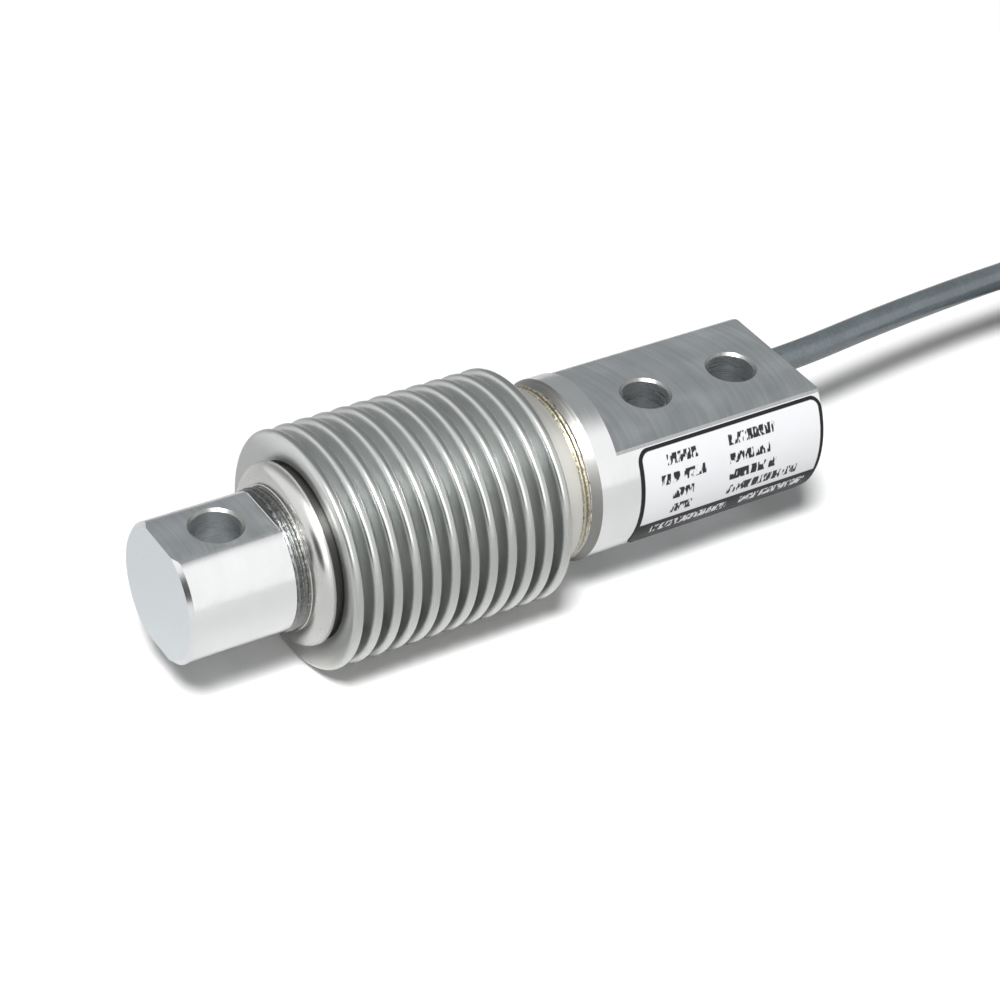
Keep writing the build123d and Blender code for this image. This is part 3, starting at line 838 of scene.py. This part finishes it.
def weld_bead(low_x, high_x, seat, height, ridges, seed):
    """A bead with ridges and scales: a low arch between two places on a round seat."""
    profile = [(low_x + weld_foot, seat - weld_depth)]
    for i in range(weld_profile_points + 1):
        share = i / weld_profile_points
        arch = math.sin(math.pi * share) ** 0.7
        ridge = 0.72 - 0.28 * math.cos(2 * math.pi * ridges * share)
        profile.append((low_x + (high_x - low_x) * share, seat + height * arch * ridge))
    profile.append((high_x - weld_foot, seat - weld_depth))
    shape = spun(profile)
    for vert in shape.verts:
        out_from_axis = Vector((0, vert.co.y, vert.co.z - axis_z))
        if out_from_axis.length > seat + bare_above:
            angle = math.atan2(out_from_axis.z, out_from_axis.y)
            scale = math.sin(angle * scale_count + scale_lean * (vert.co.x - low_x))
            uneven = noise.noise(vert.co * noise_count + Vector((seed, 0, 0)))
            lift = scale_height * scale + uneven_height * uneven - bead_sunk
            vert.co += out_from_axis.normalized() * lift
    bmesh.ops.recalc_face_normals(shape, faces=shape.faces)
    return shape


def weld_metal(name, low_x, high_x, tints):
    """Weld steel with heat colours in rings from one edge to the other."""
    made, tree, shader, place = new_material(name, 1.0)
    polar = use_group(tree, round_axis, Vector=place)
    grain = use_group(tree, moulded_grain, Vector=place, Size=0.00045)
    along = calc(tree, "ADD", polar["Along"], varied(tree, grain["Speckle"], -0.00022, 0.00022))
    ramp = put(tree, "ValToRGB", {0: spread(tree, along, low_x, high_x, 0, 1, "LINEAR")})
    steps = ramp.color_ramp.elements
    steps[0].color = (*tints[0], 1)
    steps[1].color = (*tints[-1], 1)
    for i, tint in enumerate(tints[1:-1], 1):
        steps.new(i / (len(tints) - 1)).color = (*tint, 1)
    height = put(tree, "SeparateXYZ", {0: place}).outputs["Z"]
    # Painted light: the weld colours are painted paler on the lower side.
    painted_lower_side = spread(tree, height, axis_z - 0.011, axis_z + 0.004, 0.5, 0)
    stained = blend(tree, painted_lower_side, ramp.outputs[0], (0.62, 0.62, 0.60, 1))
    tree.links.new(stained, shader.inputs["Base Color"])
    tree.links.new(varied(tree, grain["Speckle"], 0.28, 0.5), shader.inputs["Roughness"])
    bump(tree, shader, grain["Speckle"], 0.00006)
    return made


burnt = [(0.08, 0.085, 0.09), (0.25, 0.25, 0.245), (0.065, 0.07, 0.075)]
burnt += [(0.30, 0.30, 0.28), (0.09, 0.095, 0.095), (0.32, 0.32, 0.30)]
straw = [(0.14, 0.13, 0.10), (0.60, 0.55, 0.42), (0.16, 0.15, 0.11)]
straw += [(0.66, 0.61, 0.48), (0.10, 0.095, 0.08)]
welds = [
    ("load_end_weld", load_weld_low, load_weld_high, 0.00035, 3, 3, burnt),
    ("mounting_end_weld", mounting_weld_low, mounting_weld_high, 0.00045, 2, 8, straw),
]
for weld, low, high, height, ridges, seed, tints in welds:
    metal = weld_metal(weld + "_metal", low.x, high.x, tints)
    bead = weld_bead(low.x, high.x, high.y - height, height, ridges, seed)
    finish_shape(bead, weld + "_bead", [metal], "weld_metal", weld, sharp=math.radians(60))

# %% [markdown]
# The label is a thin film wrapped a fifth of the way round the block. Its print is worked out from where
# a point lies on it: the distance along the beam gives the column, and the angle round the axis gives the
# row. It says nothing: each entry is a row of uneven strokes, with a field name at the left and its value
# at the right, over a dark band with white strokes.

# %% Node group: one printed line
printed_line, given, out = new_group(
    "printed_line",
    [
        ("Along", "Float", 0.0),
        ("Around", "Float", 0.0),
        ("Start", "Float", 0.0),
        ("End", "Float", 0.01),
        ("Middle", "Float", 0.0),
        ("Height", "Float", 0.002),
        ("Seed", "Float", 0.0),
    ],
    [("Ink", "Float")],
)
soft_edge = 0.00008
strokes_per_metre = (1700, 520, 1)


def past(tree, value, limit):
    """1 where a value is past a limit and 0 before it, with the soft edge of a print."""
    return spread(tree, calc(tree, "SUBTRACT", value, limit), -soft_edge, soft_edge, 0, 1)


after_start = past(printed_line, given["Along"], given["Start"])
before_end = past(printed_line, given["End"], given["Along"])
to_middle = calc(printed_line, "SUBTRACT", given["Around"], given["Middle"])
off_middle = calc(printed_line, "ABSOLUTE", to_middle)
half_height = calc(printed_line, "MULTIPLY", given["Height"], 0.5)
in_row = past(printed_line, half_height, off_middle)
letter_place = combine(printed_line, given["Along"], given["Around"], given["Seed"])
letter_scale = vector_calc(printed_line, "MULTIPLY", letter_place, strokes_per_metre)
strokes = put(printed_line, "TexNoise", {"Vector": letter_scale, "Scale": 1.0, "Detail": 1.0}).outputs[0]
stroke_ink = spread(printed_line, strokes, 0.46, 0.52, 0, 1)
ink = calc(printed_line, "MULTIPLY", calc(printed_line, "MULTIPLY", after_start, before_end), in_row)
printed_line.links.new(calc(printed_line, "MULTIPLY", ink, stroke_ink), out["Ink"])
print("group:", printed_line.name)

# %% The label's print
label_radius = 0.016
label_half_angle = math.radians(38)
label_film, tree, shader, place = new_material("printed_label_film")
polar = use_group(tree, round_axis, Vector=place)
angle_full = calc(tree, "FLOORED_MODULO", polar["Angle"], 2 * math.pi)
around = calc(tree, "MULTIPLY", calc(tree, "SUBTRACT", angle_full, math.pi), label_radius)
along = polar["Along"]
half_around = label_half_angle * label_radius
border = 0.0007
corner = 0.0016
label_middle = (label_low.x + label_high.x) / 2
half_along = (label_high.x - label_low.x) / 2
off_centre = calc(tree, "ABSOLUTE", calc(tree, "SUBTRACT", along, label_middle))
past_side = calc(tree, "SUBTRACT", off_centre, half_along - border - corner)
past_top = calc(tree, "SUBTRACT", calc(tree, "ABSOLUTE", around), half_around - border - corner)
round_x = calc(tree, "MAXIMUM", past_side, 0.0)
round_y = calc(tree, "MAXIMUM", past_top, 0.0)
corner_reach = vector_calc(tree, "LENGTH", combine(tree, round_x, round_y))
inside = past(tree, corner, corner_reach)
band_start = math.radians(15) * label_radius
above_band = past(tree, band_start, around)
paper = calc(tree, "MULTIPLY", inside, above_band)
print("label:", round(1000 * 2 * half_along, 1), "by", round(1000 * 2 * half_around, 1), "mm")

# %% The rows of ink
row_angles = [-27, -15, -3.6, 7.6]
name_widths = [0.0063, 0.0092, 0.0043, 0.0043]
value_widths = [0.0097, 0.0085, 0.0100, 0.0149]
name_middle = label_low.x + 0.0086
value_start = label_low.x + 0.0182
row_height = 0.0019
band_row_height = 0.0022


def printed(start, width, middle, height, seed, ink_so_far):
    """The ink of a label with one more printed line on it."""
    line = use_group(
        tree,
        printed_line,
        Along=along,
        Around=around,
        Start=start,
        End=start + width,
        Middle=middle,
        Height=height,
        Seed=seed,
    )
    return calc(tree, "MAXIMUM", ink_so_far, line["Ink"])


ink_on_paper = 0.0
for row, (angle, name_width, value_width) in enumerate(zip(row_angles, name_widths, value_widths)):
    middle = math.radians(angle) * label_radius
    name_start = name_middle - name_width / 2
    ink_on_paper = printed(name_start, name_width, middle, row_height, row * 5.3 + 3.1, ink_on_paper)
    ink_on_paper = printed(value_start, value_width, middle, row_height, row * 5.3 + 7.7, ink_on_paper)
band_middle = math.radians(23.5) * label_radius
marks = printed(label_low.x + 0.0036, 0.0160, band_middle, band_row_height, 40.0, 0.0)
marks = printed(label_low.x + 0.0222, 0.0140, band_middle, band_row_height, 51.0, marks)
white_marks = calc(tree, "MULTIPLY", marks, calc(tree, "SUBTRACT", 1.0, above_band))
black_ink = (0.018, 0.018, 0.02, 1)
white_film = (0.64, 0.645, 0.66, 1)
field = blend(tree, ink_on_paper, white_film, black_ink)
framed = blend(tree, paper, black_ink, field)
tree.links.new(blend(tree, white_marks, framed, white_film), shader.inputs["Base Color"])
film_grain = use_group(tree, moulded_grain, Vector=place, Size=0.0006)
tree.links.new(varied(tree, film_grain["Cloud"], 0.28, 0.36), shader.inputs["Roughness"])
tree.links.new(spread(tree, paper, 0, 1, 0.08, 0.25, "LINEAR"), shader.inputs["Specular IOR Level"])
bump(tree, shader, film_grain["Speckle"], 0.000004)
finish_shape(copied_shape("label"), "label_film_sheet", [label_film], "label_film", "label")

# %% [markdown]
# Everything else is plastic, rubber, board or foil. One helper paints them all with the moulded grain, and
# each gets its own colour, gloss, grain size and depth. All but the cable stay on their CAD nodes, whose
# shapes are right.

# %% Moulded materials
def moulded(name, dark, pale, roughness, size, depth, gloss=0.5):
    """A speckled material between two close colours."""
    made, tree, shader, place = new_material(name)
    grain = use_group(tree, moulded_grain, Vector=place, Size=size)
    fine = calc(tree, "MULTIPLY", grain["Speckle"], 0.4)
    coarse = calc(tree, "MULTIPLY", grain["Cloud"], 0.6)
    shade = spread(tree, calc(tree, "ADD", fine, coarse), 0.35, 0.65, 0, 1)
    tree.links.new(blend(tree, shade, (*dark, 1), (*pale, 1)), shader.inputs["Base Color"])
    rough = varied(tree, grain["Speckle"], roughness * 0.85, roughness * 1.15)
    tree.links.new(rough, shader.inputs["Roughness"])
    shader.inputs["Specular IOR Level"].default_value = gloss
    bump(tree, shader, grain["Speckle"], depth)
    return made


soot = (0.014, 0.014, 0.015)
finishes = {
    "cable_jacket": moulded(
        "cable_jacket_pvc", (0.075, 0.09, 0.1), (0.1, 0.122, 0.135), 0.14, 0.0006, 3e-6, gloss=1.0
    ),
    "seal_rubber": moulded("black_seal_rubber", soot, (0.028, 0.028, 0.03), 0.5, 0.0004, 3e-5),
    "potting": moulded("potting_resin", (0.02, 0.02, 0.022), (0.05, 0.05, 0.055), 0.25, 0.0008, 1e-5),
    "tie_plastic": moulded("black_tie_nylon", (0.018, 0.018, 0.02), (0.035, 0.035, 0.038), 0.4, 0.0003, 1e-5),
    "sleeve_plastic": moulded(
        "heat_shrink_sleeve", (0.016, 0.016, 0.018), (0.03, 0.03, 0.033), 0.45, 0.0005, 2e-5
    ),
    "gauge_foil": moulded("gauge_foil_on_film", (0.62, 0.40, 0.14), (0.76, 0.53, 0.22), 0.35, 0.0003, 5e-6),
    "terminal_board": moulded("terminal_board", (0.50, 0.36, 0.14), (0.62, 0.47, 0.22), 0.4, 0.0005, 1e-5),
    "circuit_board": moulded(
        "green_circuit_board", (0.012, 0.13, 0.05), (0.02, 0.19, 0.075), 0.35, 0.0007, 1e-5
    ),
    "resistor_body": moulded(
        "resistor_ceramic", (0.02, 0.02, 0.022), (0.045, 0.045, 0.05), 0.3, 0.0003, 1e-5
    ),
    "lead_red": moulded("red_insulation", (0.52, 0.02, 0.015), (0.66, 0.035, 0.025), 0.35, 0.0004, 1e-5),
    "lead_white": moulded("white_insulation", (0.68, 0.68, 0.66), (0.80, 0.80, 0.78), 0.35, 0.0004, 1e-5),
    "lead_green": moulded("green_insulation", (0.015, 0.22, 0.06), (0.025, 0.32, 0.09), 0.35, 0.0004, 1e-5),
    "lead_black": moulded("black_insulation", soot, (0.03, 0.03, 0.032), 0.35, 0.0004, 1e-5),
}
print("moulded materials:", len(finishes))

# %% Dressing the CAD nodes
cable_curve.materials.append(finishes["cable_jacket"])
slot_of_node = {entry["node"]: entry["material_slot"] for entry in frame["record"]["subparts"]}
dressed = 0
for name, piece in frame["nodes"].items():
    finish = finishes.get(slot_of_node.get(name))
    if finish is not None:
        piece.data.materials.clear()
        piece.data.materials.append(finish)
        dressed += 1
print("CAD nodes dressed:", dressed, "of", len(frame["nodes"]))

# %% The size, and the end
shown_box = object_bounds()
for shown_corner, cad_corner in zip(shown_box, cad_box):
    gap = [round(1000 * (a - b), 2) for a, b in zip(shown_corner, cad_corner)]
    print("corner of the box:", gap, "mm from the CAD box")
